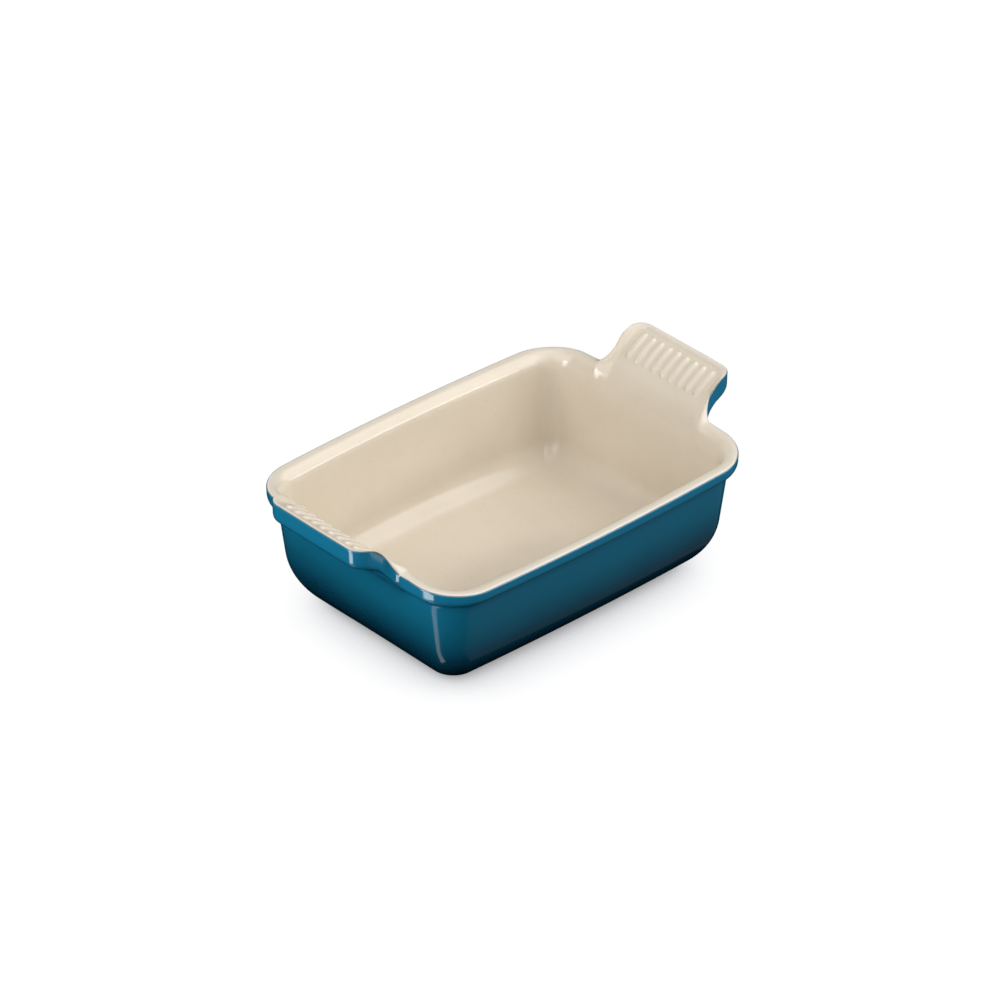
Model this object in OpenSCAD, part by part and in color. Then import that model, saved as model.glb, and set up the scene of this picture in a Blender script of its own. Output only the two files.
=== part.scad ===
// Rectangular stoneware baking dish with a lug handle at each end.
// One pressed clay body carries three glaze coats: cream inside and on top, teal outside,
// and a dark coat in the recess inside the bare clay foot ring.
// X runs from handle to handle, Y across the dish, Z up, origin on the table under the centre.

/* [Body] */
// Length over the rim, without the handles
body_l = 200; // [180:1:260]
// Width over the rim at its corners
body_w = 145.6; // [136:0.4:170]
// How far each long side bows out at its middle
side_bow = 3.2; // [0:0.2:5]
// How far each end bows out at its middle
end_bow = 1; // [0:0.2:2]
// How far the rim rises towards the middle of each end
end_rise = 2.5; // [0:0.5:4]
// Height of the rim above the table
rim_h = 66.4; // [60:0.2:80]
// Corner radius of the rim, seen from above
corner_r = 23.2; // [20:0.2:28]
// Height of the well's floor above the table
floor_z = 10.5; // [10:0.1:12]
// How far the well's walls lean in between the mouth and the floor
wall_lean = 6.2; // [6:0.1:8]
// Length of each leg of the fillet between floor and wall
floor_cut = 12; // [11:0.5:16]

/* [Rim] */
// Width of the flat rim
rim_w = 8.8; // [8.6:0.1:10]
// Height of the thick band below the rim
band_h = 6.8; // [6:0.1:9]
// How far the band stands out from the outer wall
band_step = 5.2; // [3.5:0.1:5.4]
// How far the outer wall leans in between the band and the belly
outer_lean = 6.1; // [4.5:0.1:6.2]
// Height of the belly's turning point
belly_z = 12; // [11:0.1:12.5]

/* [Handles] */
// How far a handle reaches beyond the rim
handle_reach = 22.2; // [16:0.2:26]
// Half the width of a handle
handle_half_w = 33.1; // [28:0.1:36]
// How far a handle's tip rises above the rim
handle_rise = 20.3; // [12:0.1:22]
// Height of the upright edge around a handle
handle_edge = 10.6; // [9:0.1:11]
// Radius of the inside curve where a handle meets the rim
neck_r = 6; // [5:0.5:8]
// Radius of a handle's two outer corners
tip_r = 8.1; // [6:0.1:10]

/* [Grip ribs] */
// Number of raised ribs on each handle
rib_count = 9; // [5:1:9]
// Distance from one rib to the next
rib_pitch = 5.95; // [5:0.05:6]
// Width of one rib
rib_w = 3.6; // [2:0.1:4]
// How far a rib stands up
rib_h = 0.6; // [0.4:0.1:1]
// Distance of a rib's outer end from the handle's tip
rib_margin = 5.2; // [4.6:0.1:6]
// Length of a rib, measured along X
rib_run = 13.7; // [10:0.1:14]

/* [Foot] */
// Half the length of the foot ring
foot_half_l = 75.4; // [70:0.2:77]
// Half the width of the foot ring
foot_half_w = 45.8; // [42:0.2:47]
// Corner radius of the foot ring
foot_r = 11; // [9:0.5:16]
// Width of the bare clay ring that stands on the table
foot_ring_w = 5; // [4:0.5:8]
// Height of the foot's bare side, below the glaze
foot_h = 1.6; // [1.2:0.1:2.4]
// Depth of the recess inside the ring
recess_depth = 1.2; // [1:0.1:2]

/* [Glaze] */
// Thickness of every glaze coat
glaze_t = 0.5; // [0.3:0.05:0.6]

/* [Hidden] */
clay = [0.80, 0.72, 0.60];
cream = [0.88, 0.82, 0.72];
teal = [0.03, 0.33, 0.44];
navy = [0.02, 0.12, 0.18];

half_l = body_l / 2;
half_w = body_w / 2;
// Each step inward takes this share of itself off the corner radius.
corner_shrink = 1.15;
min_corner_r = 3;
mouth_z = rim_h - 1.5;
// A handle's top climbs at this slope as far as its bend, then more gently.
handle_slope = 0.876;
bend_share = 0.575;
edge_power = 3.1;
edge_cut = 2;
// The handle's section eases into the rim's over this many stretches of the outline.
neck_ease = 1.5;
// The ends' wide rounding over the well eases into the sides' over this share of a corner.
corner_ease = 0.8;
// A handle's top is level with its side edges over a border this wide.
border_w = 4;
crease_drop = 1.6;
belly_cut = 16.7;
foot_inset = 1;

// Segments in each stretch of a quarter outline, from the tip of a handle to mid side
tip_n = 2;
tip_corner_n = 3;
handle_side_n = 2;
neck_n = 4;
end_n = 2;
corner_n = 5;
side_n = 2;

// ---- Outline: a quarter is a list of stations [stretch, share of the stretch] ----

function stretch(kind, n) = [for (k = [0 : n - 1]) [kind, k / n]];
QUARTER = concat(stretch(0, tip_n), stretch(1, tip_corner_n), stretch(2, handle_side_n),
                 stretch(3, neck_n), stretch(4, end_n), stretch(5, corner_n),
                 stretch(6, side_n), [[6, 1]]);
QN = len(QUARTER) - 1;
// Each place round the dish: a station and the signs that mirror it into its quarter
ROUND = concat([for (k = [0 : QN - 1]) [QUARTER[k], 1, 1]],
               [for (k = [QN : -1 : 1]) [QUARTER[k], -1, 1]],
               [for (k = [0 : QN - 1]) [QUARTER[k], -1, -1]],
               [for (k = [QN : -1 : 1]) [QUARTER[k], 1, -1]]);
COUNT = len(ROUND);

function mix(a, b, t) = a + (b - a) * t;
function unit(v) = v / norm(v);
function clamped(t) = min(max(t, 0), 1);
function smooth(t) = clamped(t) * clamped(t) * (3 - 2 * clamped(t));
function arc_point(centre, r, angle) = centre + r * [cos(angle), sin(angle)];
// 1 at the middle of an end, falling to 0 at the corners and towards the middle of the sides
function end_swell(p, a, b) = (1 - pow(p[1] / b, 2)) * pow(min(p[0] / a, 1), 4);
function side_swell(p, a, b) = (1 - pow(min(p[0] / a, 1), 2)) * pow(p[1] / b, 4);
// Bows are [how far the ends swell, how far the sides swell].
function bowed(p, a, b, bows) = p + [bows[0] * end_swell(p, a, b), bows[1] * side_swell(p, a, b)];

// Where each stretch ends on the straight end wall, as shares of that wall's half length
wall_half = half_w - corner_r;
tip_share = (handle_half_w - tip_r) / wall_half;
neck_share = (handle_half_w + neck_r) / wall_half;
SHARES = [0, tip_share, mix(tip_share, neck_share, 0.3), mix(tip_share, neck_share, 0.5),
          neck_share, 1];

// Point on a bowed rounded rectangle with the given half sizes and corner radius
function box_point(st, a, b, r, bows) =
    let (t = st[1],
         p = st[0] <= 4 ? [a, (b - r) * mix(SHARES[st[0]], SHARES[st[0] + 1], t)]
           : st[0] == 5 ? arc_point([a - r, b - r], r, 90 * t)
           : [(a - r) * (1 - t), b])
    bowed(p, a, b, bows);

// Point on the body's outline, moved inward by the given step
function body_point(st, step) =
    box_point(st, half_l - step, half_w - step,
              max(corner_r - corner_shrink * step, min_corner_r), [end_bow, side_bow]);

function foot_point(st, step) =
    box_point(st, foot_half_l - step, foot_half_w - step, foot_r - step, [end_bow, side_bow] / 4);

// Point on the outer edge of a handle, from its tip round the neck to the end wall
function handle_point(st) =
    let (t = st[1], tip_x = half_l + handle_reach - end_bow)
    st[0] == 0 ? [tip_x, (handle_half_w - tip_r) * t]
    : st[0] == 1 ? arc_point([tip_x - tip_r, handle_half_w - tip_r], tip_r, 90 * t)
    : st[0] == 2 ? [mix(tip_x - tip_r, half_l + neck_r, t), handle_half_w]
    : arc_point([half_l + neck_r, handle_half_w + neck_r], neck_r, -90 - 90 * t);

// Point on the outer edge of the top: the rim with its handles
function edge_point(st) =
    st[0] <= 3 ? bowed(handle_point(st), half_l, half_w, [end_bow, side_bow]) : body_point(st, 0);

// 1 on a handle, easing to 0 round the neck and part of the way along the end wall
function handle_weight(st) = smooth(1 - max(st[0] + st[1] - 3, 0) / neck_ease);

// 1 along the whole of an end, easing to 0 round the corner
function end_weight(st) = smooth(1 - max(st[0] + st[1] - 5, 0) / corner_ease);

// The rim rises a little along each end, then steeply up the handle.
function edge_height(p) =
    let (swell = end_swell(p, half_l, half_w),
         lift = end_rise * swell,
         s = clamped((p[0] - half_l - end_bow * swell) / handle_reach))
    rim_h + lift + (handle_rise - lift) * (1 - pow(1 - s, edge_power));

function at(p, z) = [p[0], p[1], z];

// ---- Section: a polyline from the floor, over the rim and down to the foot ----
// Each row is [corner point, length of the legs that its rounding takes], and mix(a, b, w) runs
// from the rim's value a to the handle's value b.

function section(st) =
    let (w = handle_weight(st),
         roll = mix(mix(7, 11, end_weight(st)), 13, w),
         mouth = body_point(st, rim_w),
         edge = edge_point(st),
         edge_z = edge_height(edge),
         bend = mix(mouth, edge, mix(0.7, bend_share, w)),
         bend_z = mouth_z + handle_slope * (bend[0] - mouth[0]),
         floor_step = rim_w + wall_lean,
         floor_p = at(body_point(st, floor_step), floor_z),
         inward = unit(at(body_point(st, floor_step + 8), floor_z) - floor_p),
         belly = at(body_point(st, band_step + outer_lean), belly_z),
         foot = at(foot_point(st, 0), foot_h))
    [[floor_p + inward * 40, 0],
     [floor_p, floor_cut],
     [at(mouth, mix(edge_z, mouth_z, w)), roll],
     [at(bend, mix(edge_z, bend_z, w)), mix(0.4, 8, w)],
     [at(edge, edge_z), edge_cut],
     [at(mix(edge, mouth, 0.01), edge_z - mix(0.3 * band_h, handle_edge, w)), mix(0.8, 2.6, w)],
     [at(body_point(st, 0.15), rim_h - 0.45 * band_h), mix(0.8, 6, w)],
     [at(body_point(st, mix(0.3, 1.5, w)), rim_h - band_h), mix(3, 4, w)],
     [at(body_point(st, band_step), rim_h - band_h - mix(crease_drop, 6, w)), mix(3, 9, w)],
     [belly, belly_cut],
     [foot * 2 - belly, 0]];

// Where corner k's rounding ends on the leg towards the other corner, which needs room for its own
function leg_end(s, k, other) =
    let (leg = s[other][0] - s[k][0],
         room = 0.98 * norm(leg) / (s[k][1] + s[other][1]))
    s[k][0] + unit(leg) * s[k][1] * min(1, room);

// Point on the rounding of corner k, at share t of the way round
function rounded(s, k, t) =
    let (v = s[k][0],
         from = leg_end(s, k, k - 1),
         to = leg_end(s, k, k + 1),
         weight = sqrt(max((1 - unit(from - v) * unit(to - v)) / 2, 0)),
         a = (1 - t) * (1 - t),
         b = 2 * weight * t * (1 - t),
         c = t * t)
    (a * from + b * v + c * to) / (a + b + c);

// Stops on the section: [corner number, share of its rounding]
function stops(corner, n) = [for (k = [0 : n]) [corner, k / n]];
IN_STOPS = concat(stops(1, 3), stops(2, 4), stops(3, 2), [[4, 0], [4, 0.5]]);
OUT_STOPS = concat([[4, 1]], stops(5, 1), stops(6, 2), stops(7, 3), stops(8, 2), stops(9, 4));
IN_N = len(IN_STOPS);

SECTIONS = [for (r = ROUND) section(r[0])];
function skin_point(stop, i) =
    let (p = rounded(SECTIONS[i], stop[0], stop[1]))
    [p[0] * ROUND[i][1], p[1] * ROUND[i][2], p[2]];

// Distance in plan from a handle's outer edge, inward
function handle_inset(p) =
    let (qx = abs(p[0]) - (half_l + handle_reach - tip_r),
         qy = abs(p[1]) - (handle_half_w - tip_r))
    tip_r - norm([max(qx, 0), max(qy, 0)]) - min(max(qx, qy), 0);
// Crest of the top along a handle's edge and neck: [x, height]
CREST = [for (i = [0 : tip_n + tip_corner_n + handle_side_n + neck_n - 1])
            let (p = skin_point([4, 0.5], i)) [p[0], p[2]]];
// Point of the top, brought up to the crest over the border along a handle's sides
function bordered(p) =
    let (x = abs(p[0]),
         near = smooth(1 - handle_inset(p) / border_w) * smooth((x - half_l - 2) / 4))
    [p[0], p[1], p[2] + near * max(lookup(x, CREST) - p[2], 0)];

// A ring round the foot, stepped inward, at height z
function foot_ring(step, z) =
    [for (r = ROUND) let (p = foot_point(r[0], step)) [p[0] * r[1], p[1] * r[2], z]];
// The glazed surface: one ring of points for each stop, and the last ring on the foot
SKIN = concat([for (stop = IN_STOPS) [for (i = [0 : COUNT - 1]) bordered(skin_point(stop, i))]],
              [for (stop = OUT_STOPS) [for (i = [0 : COUNT - 1]) skin_point(stop, i)]],
              [foot_ring(0, foot_h)]);
LAST = len(SKIN) - 1;

function skin_normal(j, i) =
    let (across = SKIN[min(j + 1, LAST)][i] - SKIN[max(j - 1, 0)][i],
         along = SKIN[j][(i + 1) % COUNT] - SKIN[j][(i + COUNT - 1) % COUNT])
    unit(cross(across, along));
// The clay surface lies one glaze thickness below the glazed one.
CLAY = [for (j = [0 : LAST])
            [for (i = [0 : COUNT - 1])
                j == 0 ? SKIN[j][i] - [0, 0, glaze_t] : SKIN[j][i] - glaze_t * skin_normal(j, i)]];

function reverse(rings) = [for (k = [len(rings) - 1 : -1 : 0]) rings[k]];
function some(rings, first, last) = [for (k = [first : last]) rings[k]];

function ring_centre(ring) = [0, 0, ring[0][2]];

// Solid whose wall runs through the rings: closed by a flat cap at both ends, or round on itself
module ringed_solid(rings, capped) {
    rows = len(rings);
    n = COUNT;
    strips = capped ? rows - 1 : rows;
    walls = [for (j = [0 : strips - 1])
                for (i = [0 : n - 1])
                    let (a = j * n + i, b = j * n + (i + 1) % n,
                         c = ((j + 1) % rows) * n + (i + 1) % n, d = ((j + 1) % rows) * n + i)
                    for (f = [[a, b, c], [a, c, d]]) f];
    // Each cap is a fan round a point of its own at the middle.
    first = rows * n;
    last = first + 1;
    end = (rows - 1) * n;
    caps = [for (i = [0 : n - 1])
               for (f = [[first, (i + 1) % n, i], [last, end + i, end + (i + 1) % n]]) f];
    middles = [ring_centre(rings[0]), ring_centre(rings[rows - 1])];
    points = [for (ring = rings) for (p = ring) p];
    polyhedron(capped ? concat(points, middles) : points, capped ? concat(walls, caps) : walls);
}

// One rib on the +X handle: a low rounded bar that follows the bend of the handle's middle
// section, sunk through the glaze and no deeper
module rib() {
    end_r = rib_w / 2;
    middle = section([0, 0]);
    bend_from = rounded(middle, 3, 0)[0];
    bend_to = rounded(middle, 3, 1)[0];
    outer_x = half_l + handle_reach - rib_margin - end_r;
    inner_x = outer_x - rib_run + rib_w;
    hull()
        for (x = [inner_x, (inner_x + outer_x) / 2, outer_x]) {
            t = (x - bend_from) / (bend_to - bend_from);
            p = rounded(middle, 3, t);
            ahead = rounded(middle, 3, t + 0.01) - p;
            translate(p)
                rotate([0, -atan2(ahead[2], ahead[0]), 0])
                    translate([0, 0, (rib_h - glaze_t) / 2])
                        scale([1, 1, (rib_h + glaze_t) / rib_w])
                            sphere(end_r, $fn = 10);
        }
}

module stoneware_body() {
    foot = [foot_ring(foot_inset, 0), foot_ring(foot_ring_w, 0), foot_ring(foot_ring_w, recess_depth)];
    color(clay)
        ringed_solid(concat(CLAY, foot), true);
}

module interior_glaze() {
    color(cream) {
        ringed_solid(concat(some(SKIN, 0, IN_N - 1), reverse(some(CLAY, 0, IN_N - 1))), true);
        for (side = [0, 180])
            rotate(side)
                for (k = [0 : rib_count - 1])
                    translate([0, (k - (rib_count - 1) / 2) * rib_pitch, 0])
                        rib();
    }
}

module exterior_glaze() {
    color(teal)
        ringed_solid(concat(some(SKIN, IN_N - 1, LAST), reverse(some(CLAY, IN_N - 1, LAST))), false);
}

module underside_glaze() {
    color(navy)
        ringed_solid([foot_ring(foot_ring_w, recess_depth), foot_ring(foot_ring_w, recess_depth - glaze_t)],
                     true);
}

stoneware_body();
interior_glaze();
exterior_glaze();
underside_glaze();
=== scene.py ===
"""Glazed stoneware baking dish: cream inside, teal to navy outside, a ribbed lug handle at each end.

The clay body and its three glaze coats are built here as fine meshes from the same section curves as
the CAD model. All lengths are in metres.
"""
import math

import bpy
import numpy as np
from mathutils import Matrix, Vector


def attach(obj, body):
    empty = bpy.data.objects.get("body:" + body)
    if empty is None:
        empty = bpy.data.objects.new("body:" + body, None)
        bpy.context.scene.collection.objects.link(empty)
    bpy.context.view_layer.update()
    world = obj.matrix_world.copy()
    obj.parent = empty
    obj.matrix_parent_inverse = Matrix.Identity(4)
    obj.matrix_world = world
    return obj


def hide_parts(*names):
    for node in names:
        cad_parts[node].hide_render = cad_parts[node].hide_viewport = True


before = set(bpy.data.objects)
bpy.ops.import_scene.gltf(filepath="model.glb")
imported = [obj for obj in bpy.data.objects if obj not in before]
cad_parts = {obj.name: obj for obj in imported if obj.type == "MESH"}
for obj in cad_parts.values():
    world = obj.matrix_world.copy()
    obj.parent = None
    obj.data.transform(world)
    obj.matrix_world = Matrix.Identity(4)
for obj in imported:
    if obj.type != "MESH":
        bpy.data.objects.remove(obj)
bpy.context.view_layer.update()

MM = 0.001

# ---- Driving dimensions, as in the CAD model ----
HALF_L = 100.0 * MM
HALF_W = 72.8 * MM
SIDE_BOW = 3.2 * MM
END_BOW = 1.0 * MM
END_RISE = 2.5 * MM
RIM_H = 66.4 * MM
CORNER_R = 23.2 * MM
# The corner radius falls by this times the step inward.
CORNER_SHRINK = 1.15
MIN_CORNER_R = 3 * MM
FLOOR_Z = 10.5 * MM
WALL_LEAN = 6.2 * MM
FLOOR_CUT = 12 * MM
FLOOR_RUN = 40 * MM
RIM_W = 8.8 * MM
BAND_H = 6.8 * MM
BAND_STEP = 5.2 * MM
CREASE_DROP = 1.6 * MM
OUTER_LEAN = 6.1 * MM
BELLY_Z = 12 * MM
BELLY_CUT = 16.7 * MM
EDGE_CUT = 2 * MM
MOUTH_Z = RIM_H - 1.5 * MM
# Legs of the rounding over the well: along the sides, along the ends and on the handles
SIDE_ROLL, END_ROLL, HANDLE_ROLL = 7 * MM, 11 * MM, 13 * MM
# The ends' rounding eases into the sides' over this share of a corner.
CORNER_EASE = 0.8

# The handles end just inside the CAD model's box, which has coarser curves.
REACH = 22.15 * MM
HANDLE_HALF_W = 33.1 * MM
HANDLE_RISE = 20.1 * MM
HANDLE_EDGE = 10.6 * MM
# A handle's top climbs at this slope over this share of its section, then more gently.
HANDLE_SLOPE = 0.876
BEND_SHARE = 0.575
# A handle's side edge climbs as a curve of this power, steepest at the rim.
EDGE_POWER = 3.1
# The handle's section eases into the rim's over this many stretches of the outline.
NECK_EASE = 1.5
NECK_R = 6 * MM
TIP_R = 8.1 * MM

RIB_COUNT = 9
RIB_PITCH = 5.95 * MM
RIB_HALF_W = 1.9 * MM
RIB_H = 1.05 * MM
RIB_MARGIN = 5.2 * MM
RIB_RUN = 13.7 * MM
RIB_FLANK = 1.0 * MM
# The ribs stand in a shallow panel inside the handle's edge; towards the well it fades out.
PANEL_DEPTH = 0.45 * MM
PANEL_MARGIN = 2.8 * MM
PANEL_FLANK = 1.4 * MM
PANEL_START = HALF_L - 1 * MM
PANEL_FADE = 5 * MM
# Over a border inside a handle's edge the top comes up level with it; this too fades out.
BORDER_W = 4 * MM
BORDER_START = HALF_L + 2 * MM
BORDER_FADE = 4 * MM

FOOT_HALF_L = 75.4 * MM
FOOT_HALF_W = 45.8 * MM
FOOT_R = 11 * MM
FOOT_RING_W = 5 * MM
FOOT_H = 1.6 * MM
FOOT_INSET = 1 * MM
RECESS_DEPTH = 1.2 * MM
GLAZE_T = 0.5 * MM
# How far from the seam the cream and the teal glaze run thin, and how pale the cream turns over the ribs:
# partly the glaze running thin, partly a painted highlight
CREAM_FADE = 3 * MM
TEAL_FADE = 0.45 * MM
RIB_THIN_AND_SHEEN = 0.6

# Two roundings never take more than this share of the run between them.
FULLEST = 0.98
# Edges that turn by more than this stay sharp.
SHARP_ANGLE = math.radians(60)
# Segments of a quarter outline: tip of the handle, its corner, its side, neck, end, corner, side
COUNTS = (60, 16, 14, 20, 8, 24, 18)


# ---- Outline ----

def mix(a, b, t):
    return a + (b - a) * t


def smooth(t):
    t = np.clip(t, 0.0, 1.0)
    return t * t * (3.0 - 2.0 * t)


def quarter_stations():
    """Stations [stretch, share of the stretch], from a handle's tip to the middle of the side."""
    made = [(kind, k / n) for kind, n in enumerate(COUNTS) for k in range(n)]
    return made + [(len(COUNTS) - 1, 1.0)]


WALL_HALF = HALF_W - CORNER_R
TIP_SHARE = (HANDLE_HALF_W - TIP_R) / WALL_HALF
NECK_SHARE = (HANDLE_HALF_W + NECK_R) / WALL_HALF
SHARES = [0.0, TIP_SHARE, mix(TIP_SHARE, NECK_SHARE, 0.3), mix(TIP_SHARE, NECK_SHARE, 0.5),
          NECK_SHARE, 1.0]


def arc(cx, cy, r, degrees):
    a = math.radians(degrees)
    return np.array([cx + r * math.cos(a), cy + r * math.sin(a)])


def end_weight(station):
    """1 along the whole end, easing to 0 round the corner."""
    kind, t = station
    return float(smooth(1 - max(kind + t - 5, 0.0) / CORNER_EASE))


def end_swell(p, a, b):
    """1 at the middle of an end, falling to 0 at the corners and towards the middle of the sides."""
    return (1 - (p[1] / b) ** 2) * min(p[0] / a, 1.0) ** 4


def bowed(p, a, b, side, end):
    """The long sides bow out by side at their middle, and the ends by end."""
    side_swell = (1 - min(p[0] / a, 1.0) ** 2) * (p[1] / b) ** 4
    return p + np.array([end * end_swell(p, a, b), side * side_swell])


def box_point(station, a, b, r, side, end):
    """Point of a rounded rectangle with half sizes a and b and bowed sides."""
    kind, t = station
    if kind <= 4:
        p = np.array([a, (b - r) * mix(SHARES[kind], SHARES[kind + 1], t)])
    elif kind == 5:
        p = arc(a - r, b - r, r, 90 * t)
    else:
        p = np.array([(a - r) * (1 - t), b])
    return bowed(p, a, b, side, end)


def body_point(station, step):
    r = max(CORNER_R - CORNER_SHRINK * step, MIN_CORNER_R)
    return box_point(station, HALF_L - step, HALF_W - step, r, SIDE_BOW, END_BOW)


def foot_point(station, step):
    return box_point(station, FOOT_HALF_L - step, FOOT_HALF_W - step, FOOT_R - step,
                     SIDE_BOW / 4, END_BOW / 4)


def edge_point(station):
    """Outer edge of the top: the rim with its handles."""
    kind, t = station
    tip_x = HALF_L + REACH - END_BOW
    if kind == 0:
        p = np.array([tip_x, (HANDLE_HALF_W - TIP_R) * t])
    elif kind == 1:
        p = arc(tip_x - TIP_R, HANDLE_HALF_W - TIP_R, TIP_R, 90 * t)
    elif kind == 2:
        p = np.array([mix(tip_x - TIP_R, HALF_L + NECK_R, t), HANDLE_HALF_W])
    elif kind == 3:
        p = arc(HALF_L + NECK_R, HANDLE_HALF_W + NECK_R, NECK_R, -90 - 90 * t)
    else:
        return body_point(station, 0.0)
    return bowed(p, HALF_L, HALF_W, SIDE_BOW, END_BOW)


def handle_weight(station):
    """1 on the handle, easing to 0 round the neck and part of the way along the end wall."""
    kind, t = station
    return float(smooth(1 - max(kind + t - 3, 0.0) / NECK_EASE))


def edge_height(p):
    """The rim rises a little along each end, then steeply up the handle."""
    swell = end_swell(p, HALF_L, HALF_W)
    s = min(max((p[0] - HALF_L - END_BOW * swell) / REACH, 0.0), 1.0)
    lift = END_RISE * swell
    return RIM_H + lift + (HANDLE_RISE - lift) * (1 - (1 - s) ** EDGE_POWER)


# ---- Section ----

def at(p, z):
    return np.array([p[0], p[1], z])


def section(station):
    """Corners of the section from the floor over the rim to the foot, each with its rounding's legs.

    mix(a, b, w) runs from the rim's value a to the handle's value b.
    """
    w = handle_weight(station)
    roll = mix(mix(SIDE_ROLL, END_ROLL, end_weight(station)), HANDLE_ROLL, w)
    mouth = body_point(station, RIM_W)
    edge = edge_point(station)
    edge_z = edge_height(edge)
    bend = mix(mouth, edge, mix(0.7, BEND_SHARE, w))
    bend_z = MOUTH_Z + HANDLE_SLOPE * (bend[0] - mouth[0])
    floor_step = RIM_W + WALL_LEAN
    floor = at(body_point(station, floor_step), FLOOR_Z)
    inward = at(body_point(station, floor_step + 8 * MM), FLOOR_Z) - floor
    inward /= np.linalg.norm(inward)
    belly = at(body_point(station, BAND_STEP + OUTER_LEAN), BELLY_Z)
    foot = at(foot_point(station, 0.0), FOOT_H)
    return [
        (floor + inward * FLOOR_RUN, 0.0),
        (floor, FLOOR_CUT),
        (at(mouth, mix(edge_z, MOUTH_Z, w)), roll),
        (at(bend, mix(edge_z, bend_z, w)), mix(0.4, 8, w) * MM),
        (at(edge, edge_z), EDGE_CUT),
        (at(mix(edge, mouth, 0.01), edge_z - mix(0.3 * BAND_H, HANDLE_EDGE, w)), mix(0.8, 2.6, w) * MM),
        (at(body_point(station, 0.15 * MM), RIM_H - 0.45 * BAND_H), mix(0.8, 6, w) * MM),
        (at(body_point(station, mix(0.3, 1.5, w) * MM), RIM_H - BAND_H), mix(3, 4, w) * MM),
        (at(body_point(station, BAND_STEP), RIM_H - BAND_H - mix(CREASE_DROP, 6 * MM, w)),
         mix(3, 9, w) * MM),
        (belly, BELLY_CUT),
        (foot * 2 - belly, 0.0),
    ]


def leg(corners, k, other):
    """Unit vector from corner k towards its neighbour, and how much of that leg its rounding takes."""
    v, cut = corners[k]
    point, other_cut = corners[other]
    length = np.linalg.norm(point - v)
    return (point - v) / length, cut * min(1.0, FULLEST * length / (cut + other_cut))


def on_rounding(corners, k, t):
    v = corners[k][0]
    d0, cut0 = leg(corners, k, k - 1)
    d1, cut1 = leg(corners, k, k + 1)
    s = math.sqrt(max((1 - float(d0 @ d1)) / 2, 0.0))
    a, b, c = (1 - t) ** 2, 2 * s * t * (1 - t), t * t
    return (a * (v + d0 * cut0) + b * v + c * (v + d1 * cut1)) / (a + b + c)


def on_section(corners, stop):
    """stop is (corner, share of its rounding), or (corner, 1 + share of the run that follows it)."""
    k, t = stop
    if t <= 1:
        return on_rounding(corners, k, t)
    return mix(on_rounding(corners, k, 1.0), on_rounding(corners, k + 1, 0.0), t - 1)


def turn(k, n):
    return [(k, j / n) for j in range(n + 1)]


def run(k, n):
    return [(k, 1 + j / n) for j in range(1, n)]


IN_STOPS = (turn(1, 12) + run(1, 14) + turn(2, 12) + run(2, 22) + turn(3, 22) + run(3, 12)
            + [(4, j / 10) for j in range(6)])
# A row near the top of the edge's rounding
CREST_ROW = -3
OUT_STOPS = ([(4, j / 10) for j in range(6, 11)] + run(4, 4) + turn(5, 6) + run(5, 8) + turn(6, 8)
             + run(6, 3) + turn(7, 8) + run(7, 2) + turn(8, 6) + run(8, 12) + turn(9, 14))


def skin_rings():
    """The glazed surface: an array [ring, place round the dish, xyz], and the foot's outline last."""
    stations = quarter_stations()
    sections = [section(s) for s in stations]
    quarter = np.array([[on_section(c, stop) for c in sections] for stop in IN_STOPS + OUT_STOPS]
                       + [[at(foot_point(s, 0.0), FOOT_H) for s in stations]])
    return mirrored(quarter)


def mirrored(quarter):
    """A quarter's rows of points, mirrored into whole rings."""
    last = quarter.shape[1] - 1
    ahead, back = quarter[:, :last], quarter[:, last:0:-1]
    return np.concatenate([ahead, back * (-1, 1, 1), ahead * (-1, -1, 1), back * (1, -1, 1)], axis=1)


def foot_ring(step, z):
    return mirrored(np.array([[at(foot_point(s, step), z) for s in quarter_stations()]]))[0]


def normals(rings):
    across = np.empty_like(rings)
    across[1:-1] = rings[2:] - rings[:-2]
    across[0] = rings[1] - rings[0]
    across[-1] = rings[-1] - rings[-2]
    along = np.roll(rings, -1, 1) - np.roll(rings, 1, 1)
    n = np.cross(across, along)
    return n / np.linalg.norm(n, axis=2, keepdims=True)


# ---- Relief on the handles ----

def handle_inset(x, y):
    """Distance in plan from the handle's outer edge, inward."""
    tip_x = HALF_L + REACH
    qx = np.abs(x) - (tip_x - TIP_R)
    qy = np.abs(y) - (HANDLE_HALF_W - TIP_R)
    outside = np.hypot(np.maximum(qx, 0), np.maximum(qy, 0)) + np.minimum(np.maximum(qx, qy), 0)
    return TIP_R - outside


def relief(p):
    """Height of the grip relief over the handles' smooth top."""
    x, y = np.abs(p[..., 0]), p[..., 1]
    on_handle = smooth((x - PANEL_START) / PANEL_FADE)
    panel = smooth((handle_inset(x, y) - PANEL_MARGIN) / PANEL_FLANK)
    height = -PANEL_DEPTH * panel * on_handle
    outer = HALF_L + REACH - RIB_MARGIN - RIB_HALF_W
    inner = outer - RIB_RUN + 2 * RIB_HALF_W
    for k in range(RIB_COUNT):
        rib_y = (k - (RIB_COUNT - 1) / 2) * RIB_PITCH
        past = np.maximum(np.maximum(inner - x, x - outer), 0.0)
        d = np.hypot(past, y - rib_y)
        height += RIB_H * smooth((RIB_HALF_W - d) / RIB_FLANK)
    return height


def with_even_border(rows):
    """Inside rows with the handles' top brought up to their side edges over a border."""
    x, y = np.abs(rows[..., 0]), rows[..., 1]
    tip_to_neck = sum(COUNTS[:4])
    crest = rows[CREST_ROW, :tip_to_neck]
    order = np.argsort(crest[:, 0])
    crest_z = np.interp(x, crest[order, 0], crest[order, 2])
    near = smooth(1 - handle_inset(x, y) / BORDER_W) * smooth((x - BORDER_START) / BORDER_FADE)
    levelled = rows.copy()
    levelled[..., 2] += near * np.maximum(crest_z - rows[..., 2], 0.0)
    return levelled


# ---- Meshes ----

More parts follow.
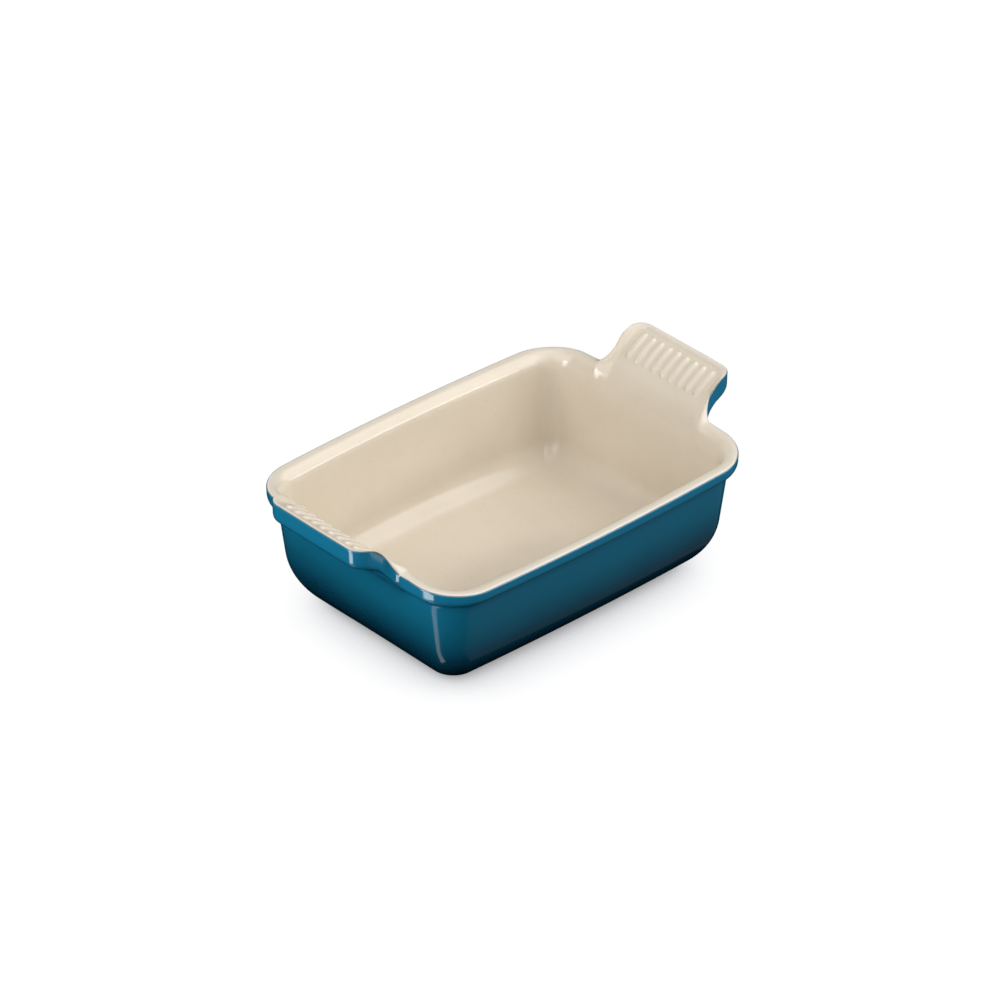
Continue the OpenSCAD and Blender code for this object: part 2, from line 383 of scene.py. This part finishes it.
def ringed_mesh(name, rings, capped, thin=None):
    """Closed mesh whose wall runs through the rings, with fan caps or joined end to end.

    thin gives, for each point of the rings, how thin the glaze runs there, and over the ribs also a
    painted highlight: 0 to 1.
    """
    rows, n = rings.shape[0], rings.shape[1]
    verts = rings.reshape(-1, 3)
    j, i = np.meshgrid(np.arange(rows - 1 if capped else rows), np.arange(n), indexing="ij")
    j2, i2 = (j + 1) % rows, (i + 1) % n
    quads = np.stack([j * n + i, j * n + i2, j2 * n + i2, j2 * n + i], -1).reshape(-1, 4)
    faces = [tuple(q) for q in quads.tolist()]
    if capped:
        middles = [(0.0, 0.0, rings[0, 0, 2]), (0.0, 0.0, rings[-1, 0, 2])]
        verts = np.concatenate([verts, middles])
        first, end = rows * n, (rows - 1) * n
        faces += [(first, (k + 1) % n, k) for k in range(n)]
        faces += [(first + 1, end + k, end + (k + 1) % n) for k in range(n)]
    mesh = bpy.data.meshes.new(name)
    mesh.from_pydata(verts.tolist(), [], faces)
    if thin is not None:
        values = np.zeros(len(verts), dtype=np.float32)
        values[:thin.size] = thin.ravel()
        mesh.attributes.new("thin", "FLOAT", "POINT").data.foreach_set("value", values)
    mesh.validate()
    mesh.shade_smooth()
    mesh.set_sharp_from_angle(angle=SHARP_ANGLE)
    piece = bpy.data.objects.new(name, mesh)
    bpy.context.scene.collection.objects.link(piece)
    return piece


def distance_from_seam(rings, seam):
    """Distance along the section from the ring where the cream and teal glazes meet."""
    steps = np.linalg.norm(np.diff(rings, axis=0), axis=2)
    along = np.concatenate([np.zeros((1, rings.shape[1])), np.cumsum(steps, axis=0)])
    return np.abs(along - along[seam])


# ---- Pieces ----

IN_N = len(IN_STOPS)
SEAM = IN_N - 1
skin = skin_rings()
skin[:IN_N] = with_even_border(skin[:IN_N])
raised = relief(skin[:IN_N])
skin[:IN_N] += normals(skin)[:IN_N] * raised[..., None]
clay = skin - GLAZE_T * normals(skin)
clay[0] = skin[0] - (0, 0, GLAZE_T)

from_seam = distance_from_seam(skin, SEAM)
on_ribs = np.clip((raised + PANEL_DEPTH) / RIB_H, 0.0, 1.0) * (raised != 0)
# Paler cream near the seam, where the glaze runs thin; over the ribs the paling is partly thin glaze,
# partly a painted highlight.
cream_thin_and_sheen = np.maximum(np.exp(-(from_seam[:IN_N] / CREAM_FADE) ** 2), RIB_THIN_AND_SHEEN * on_ribs)
teal_thin = np.exp(-(from_seam[SEAM:] / TEAL_FADE) ** 2)

foot_rings = np.array([foot_ring(FOOT_INSET, 0.0), foot_ring(FOOT_RING_W, 0.0),
                       foot_ring(FOOT_RING_W, RECESS_DEPTH)])
recess_rings = np.array([foot_ring(FOOT_RING_W, RECESS_DEPTH),
                         foot_ring(FOOT_RING_W, RECESS_DEPTH - GLAZE_T)])
body = ringed_mesh("clay_body", np.concatenate([clay, foot_rings]), True)
inner_coat = ringed_mesh("cream_glaze_coat", np.concatenate([skin[:IN_N], clay[:IN_N][::-1]]),
                         True, cream_thin_and_sheen)
outer_coat = ringed_mesh("teal_glaze_coat", np.concatenate([skin[SEAM:], clay[SEAM:][::-1]]),
                         False, teal_thin)
base_coat = ringed_mesh("base_glaze_coat", recess_rings, True)

for piece, node, slot in ((body, "stoneware_body", "clay"), (inner_coat, "interior_glaze", "cream_glaze"),
                          (outer_coat, "exterior_glaze", "teal_glaze"),
                          (base_coat, "underside_glaze", "base_glaze")):
    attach(piece, "root")
    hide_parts(node)


# ---- Materials ----

class Graph:
    """Short names for building one material's node tree."""

    def __init__(self, name):
        self.material = bpy.data.materials.new(name)
        self.material.use_nodes = True
        self.tree = self.material.node_tree
        self.tree.nodes.clear()
        self.shader = self.node("ShaderNodeBsdfPrincipled")
        out = self.node("ShaderNodeOutputMaterial")
        self.link(self.shader.outputs[0], out.inputs["Surface"])

    def node(self, kind, **settings):
        made = self.tree.nodes.new(kind)
        for key, value in settings.items():
            setattr(made, key, value)
        return made

    def link(self, a, b):
        self.tree.links.new(a, b)

    def place(self):
        return self.node("ShaderNodeTexCoord").outputs["Object"]

    def noise(self, scale, detail=3.0, roughness=0.5):
        n = self.node("ShaderNodeTexNoise")
        n.inputs["Scale"].default_value = scale
        n.inputs["Detail"].default_value = detail
        n.inputs["Roughness"].default_value = roughness
        self.link(self.place(), n.inputs["Vector"])
        return n.outputs["Fac"]

    def ramp(self, fac, stops):
        r = self.node("ShaderNodeValToRGB")
        band = r.color_ramp
        while len(band.elements) < len(stops):
            band.elements.new(0.5)
        for element, (where, colour) in zip(band.elements, stops):
            element.position = where
            element.color = (*colour, 1.0)
        self.link(fac, r.inputs["Fac"])
        return r.outputs["Color"]

    def span(self, value, low, high, to_low=0.0, to_high=1.0):
        m = self.node("ShaderNodeMapRange")
        for key, v in (("From Min", low), ("From Max", high), ("To Min", to_low), ("To Max", to_high)):
            m.inputs[key].default_value = v
        self.link(value, m.inputs["Value"])
        return m.outputs["Result"]

    def blend(self, fac, a, b):
        m = self.node("ShaderNodeMix", data_type="RGBA")
        self.link(fac, m.inputs["Factor"])
        self.link(a, m.inputs["A"])
        m.inputs["B"].default_value = (*b, 1.0)
        return m.outputs["Result"]

    def bump(self, height, strength, distance):
        b = self.node("ShaderNodeBump")
        b.inputs["Strength"].default_value = strength
        b.inputs["Distance"].default_value = distance
        self.link(height, b.inputs["Height"])
        self.link(b.outputs["Normal"], self.shader.inputs["Normal"])


def height_above_table(g):
    axes = g.node("ShaderNodeSeparateXYZ")
    g.link(g.place(), axes.inputs["Vector"])
    return axes.outputs["Z"]


# The "thin" attribute: where the glaze runs thin, and over the ribs also a painted highlight.
def thinness(g):
    return g.node("ShaderNodeAttribute", attribute_name="thin").outputs["Fac"]


def added(g, a, b, share):
    """a + share * b"""
    m = g.node("ShaderNodeMath", operation="MULTIPLY_ADD")
    g.link(b, m.inputs[0])
    m.inputs[1].default_value = share
    g.link(a, m.inputs[2])
    return m.outputs[0]


def cream_glaze():
    g = Graph("cream_glaze")
    mottle = g.ramp(g.noise(38.0, 4.0, 0.55), [(0.3, (0.625, 0.548, 0.440)), (0.7, (0.655, 0.580, 0.472))])
    specks = g.span(g.noise(900.0, 2.0), 0.68, 0.76)
    speckled = g.blend(g.span(specks, 0.0, 1.0, 0.0, 0.45), mottle, (0.42, 0.32, 0.21))
    # Paler where the glaze runs thin; over the ribs this paling is partly a painted highlight.
    g.link(g.blend(g.span(thinness(g), 0.0, 1.0, 0.0, 0.75), speckled, (0.655, 0.62, 0.555)),
           g.shader.inputs["Base Color"])
    g.link(g.span(g.noise(90.0), 0.3, 0.7, 0.11, 0.18), g.shader.inputs["Roughness"])
    g.shader.inputs["IOR"].default_value = 1.55
    g.bump(added(g, g.noise(260.0, 2.0), g.noise(60.0, 2.0), 2.0), 0.05, 0.0004)
    return g.material


def teal_glaze():
    g = Graph("teal_glaze")
    # Darker towards the foot: the glaze's own fade from teal to navy, deepened in the lower stops by
    # painted shade. The glaze runs: noise shifts the height at which it darkens.
    height = g.span(added(g, height_above_table(g), g.noise(45.0, 3.0), 0.006), 0.003, RIM_H)
    colour = g.ramp(height, [(0.02, (0.001, 0.010, 0.022)), (0.16, (0.002, 0.028, 0.054)),
                             (0.38, (0.003, 0.056, 0.102)), (0.66, (0.006, 0.125, 0.210)),
                             (1.0, (0.009, 0.165, 0.290))])
    g.link(g.blend(g.span(thinness(g), 0.25, 0.9), colour, (0.30, 0.235, 0.165)),
           g.shader.inputs["Base Color"])
    g.link(g.span(g.noise(120.0), 0.3, 0.7, 0.07, 0.13), g.shader.inputs["Roughness"])
    g.shader.inputs["IOR"].default_value = 1.55
    g.bump(added(g, g.noise(220.0, 2.0), g.noise(50.0, 2.0), 2.0), 0.04, 0.0004)
    return g.material


def base_glaze():
    g = Graph("base_glaze")
    colour = g.ramp(g.noise(30.0), [(0.3, (0.0015, 0.010, 0.022)), (0.7, (0.003, 0.018, 0.034))])
    g.link(colour, g.shader.inputs["Base Color"])
    g.shader.inputs["Roughness"].default_value = 0.18
    g.bump(g.noise(180.0, 2.0), 0.08, 0.0004)
    return g.material


def bare_clay():
    g = Graph("bare_clay")
    colour = g.ramp(g.noise(700.0, 6.0, 0.7), [(0.35, (0.50, 0.41, 0.30)), (0.65, (0.66, 0.56, 0.43))])
    g.link(colour, g.shader.inputs["Base Color"])
    g.shader.inputs["Roughness"].default_value = 0.9
    g.bump(g.noise(1500.0, 6.0, 0.7), 0.4, 0.0004)
    return g.material


for piece, material in ((body, bare_clay()), (inner_coat, cream_glaze()), (outer_coat, teal_glaze()),
                        (base_coat, base_glaze())):
    piece.data.materials.append(material)


# ---- Stage ----

# The lamps stand round this point and face it.
LIT_POINT = Vector((0, 0, 40)) * MM


def studio_floor():
    half = 6.0
    mesh = bpy.data.meshes.new("studio_floor")
    mesh.from_pydata([(-half, -half, 0), (half, -half, 0), (half, half, 0), (-half, half, 0)], [],
                     [(0, 1, 2, 3)])
    floor = bpy.data.objects.new("studio_floor", mesh)
    bpy.context.scene.collection.objects.link(floor)
    g = Graph("studio_white")
    g.shader.inputs["Base Color"].default_value = (0.0, 0.0, 0.0, 1)
    g.shader.inputs["Roughness"].default_value = 1.0
    g.shader.inputs["Specular IOR Level"].default_value = 0.0
    # The floor takes no lamp light: it glows white, and the soft contact shadow round the dish is painted
    # shade, darkened where an occlusion test finds the dish close by.
    shadow_occlusion = g.node("ShaderNodeAmbientOcclusion", samples=16)
    shadow_occlusion.inputs["Distance"].default_value = 0.043
    tone = g.ramp(shadow_occlusion.outputs["AO"], [(0.0, (0.05, 0.052, 0.06)), (0.3, (0.70, 0.705, 0.72)),
                                           (0.55, (0.92, 0.925, 0.935)), (0.75, (1.0, 1.0, 1.0))])
    g.link(tone, g.shader.inputs["Emission Color"])
    g.shader.inputs["Emission Strength"].default_value = 1.02
    mesh.materials.append(g.material)
    floor.visible_glossy = False
    floor.visible_diffuse = False


def direction(azimuth, elevation):
    """Unit vector from the dish towards that azimuth and elevation: azimuth 0 is -Y, 90 is +X."""
    a, e = math.radians(azimuth), math.radians(elevation)
    return Vector((math.sin(a) * math.cos(e), -math.cos(a) * math.cos(e), math.sin(e)))


def softbox(name, azimuth, elevation, distance, width, height, power):
    light = bpy.data.lights.new(name, "AREA")
    light.shape = "RECTANGLE"
    light.size, light.size_y = width, height
    light.energy = power
    lamp = bpy.data.objects.new(name, light)
    away = direction(azimuth, elevation)
    lamp.location = LIT_POINT + away * distance
    lamp.rotation_mode = "QUATERNION"
    lamp.rotation_quaternion = away.to_track_quat("Z", "Y")
    bpy.context.scene.collection.objects.link(lamp)


def studio_lamps():
    """Name, azimuth, elevation, distance, width, height and power of each lamp."""
    softbox("left_box", -92, 37, 1.9, 2.4, 1.3, 18)
    softbox("front_box", 5, 38, 2.0, 2.4, 1.8, 14)
    softbox("right_box", 50, 44, 2.0, 2.8, 2.0, 37)
    softbox("rim_strip", 36, 14, 1.6, 1.2, 0.07, 4.5)
    softbox("top_box", 0, 88, 1.6, 1.4, 1.4, 7)
    softbox("back_box", 180, 15, 2.0, 2.0, 1.0, 6)
    softbox("glint_strip", -99, 18, 1.5, 0.5, 0.25, 3.5)
    softbox("left_strip", -98, -12, 1.3, 0.5, 1.3, 13)
    softbox("left_strip_low", -109, -52, 1.5, 0.36, 0.7, 0.9)
    softbox("right_low", 48, -36, 2.0, 2.6, 1.8, 1.0)


def studio_world():
    """A dim room: pale overhead, dark towards and below the horizon."""
    world = bpy.data.worlds.new("studio")
    bpy.context.scene.world = world
    world.use_nodes = True
    tree = world.node_tree
    background = tree.nodes["Background"]
    place = tree.nodes.new("ShaderNodeTexCoord")
    axes = tree.nodes.new("ShaderNodeSeparateXYZ")
    ramp = tree.nodes.new("ShaderNodeValToRGB")
    tree.links.new(place.outputs["Generated"], axes.inputs["Vector"])
    tree.links.new(axes.outputs["Z"], ramp.inputs["Fac"])
    tree.links.new(ramp.outputs["Color"], background.inputs["Color"])
    ramp.color_ramp.elements[0].position = 0.0
    ramp.color_ramp.elements[0].color = (0.03, 0.035, 0.04, 1)
    ramp.color_ramp.elements[1].position = 0.85
    ramp.color_ramp.elements[1].color = (1, 1, 1, 1)
    background.inputs["Strength"].default_value = 0.03


def camera():
    data = bpy.data.cameras.new("camera")
    data.sensor_width = 36.0
    data.lens = 245.75
    data.clip_end = 50.0
    cam = bpy.data.objects.new("camera", data)
    aim = Vector((48.8, 56.0, 0.0)) * MM
    back = direction(-42.28, 32.81)
    cam.location = aim + back * 3.38
    cam.rotation_mode = "QUATERNION"
    cam.rotation_quaternion = back.to_track_quat("Z", "Y")
    bpy.context.scene.collection.objects.link(cam)
    bpy.context.scene.camera = cam


studio_floor()
studio_world()
studio_lamps()
camera()
bpy.context.scene.view_settings.view_transform = "Standard"
